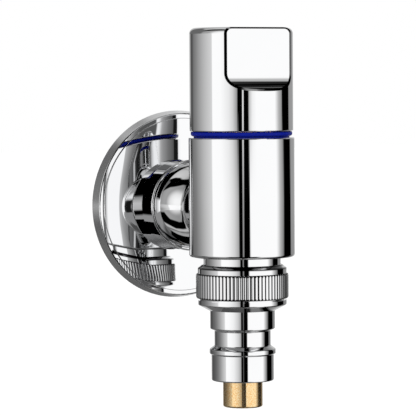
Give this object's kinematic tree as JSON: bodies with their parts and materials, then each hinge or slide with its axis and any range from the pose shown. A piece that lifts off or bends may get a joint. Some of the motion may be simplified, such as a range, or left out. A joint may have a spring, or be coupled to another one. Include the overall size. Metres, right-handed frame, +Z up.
{
  "type": "washing machine valve",
  "caption": "Wall-mounted appliance valve: upright round body and turning handle, flat wall rosette, knurled union nut and a quick-lock hose nipple with a spring-loaded stop.",
  "frame": {"origin": "centre of the rosette's back plane on the axis of the inlet thread, so the finished wall face is y = 0", "axes": "+Y along the inlet thread into the wall, +Z up along the barrel and handle, +X to the right for someone who faces the wall"},
  "size_m": [0.067, 0.0821, 0.1297],
  "materials": {
    "chrome": "mirror polished plating",
    "brass": "fine turned, unplated",
    "blue_plastic": "moulded",
    "rubber": "moulded",
    "ceramic": "lapped ceramic",
    "steel": "bright spring steel",
    "white_plastic": "moulded"
  },
  "bodies": {
    "valve_body": {"body_casting": "chrome", "wall_rosette": "chrome", "wall_seal": "rubber", "headwork_body": "brass", "headwork_o_ring": "rubber", "seat_seal": "rubber", "fixed_disc": "ceramic", "indicator_ring": "blue_plastic", "check_housing": "white_plastic", "check_o_ring": "rubber", "check_spring": "steel"},
    "handle": {"handle": "chrome", "handle_screw": "steel", "spline_adapter": "brass", "spindle": "brass", "spindle_o_ring_1": "rubber", "spindle_o_ring_2": "rubber", "spindle_circlip": "steel", "moving_disc": "ceramic"},
    "check_poppet": {"check_poppet": "white_plastic", "poppet_seal": "rubber"},
    "nipple": {"hose_nipple": "chrome", "nipple_gasket": "rubber", "plunger_spring": "steel", "spring_retainer": "steel", "retainer_clip": "steel"},
    "union_nut": {"union_nut": "chrome"},
    "stop_plunger": {"stop_plunger": "brass", "plunger_seal": "rubber"}
  },
  "joints": [
    {"name": "handle_turn", "type": "hinge", "parent": "valve_body", "child": "handle", "pos_m": [0, -0.05, 0.045], "axis": [0, 0, 1], "range_deg": [0, 90]},
    {"name": "check_lift", "type": "slide", "parent": "valve_body", "child": "check_poppet", "axis": [0, 0, -1], "range_m": [0, 0.003], "stiffness_N_per_m": 60, "springref_m": -0.004, "deforming": ["check_spring"]},
    {"name": "nipple_slide", "type": "slide", "parent": "valve_body", "child": "nipple", "axis": [0, 0, -1], "range_m": [0, 0.0073]},
    {"name": "nut_turn", "type": "hinge", "parent": "nipple", "child": "union_nut", "pos_m": [0, -0.05, -0.026], "axis": [0, 0, -1], "range_deg": [0, 1440]},
    {"name": "plunger_press", "type": "slide", "parent": "nipple", "child": "stop_plunger", "axis": [0, 0, 1], "range_m": [0, 0.005], "stiffness_N_per_m": 600, "springref_m": -0.006, "deforming": ["plunger_spring"]}
  ],
  "couplings": [
    {"joint": "nipple_slide", "follows": "nut_turn", "m_per_rad": 0.00028871}
  ]
}
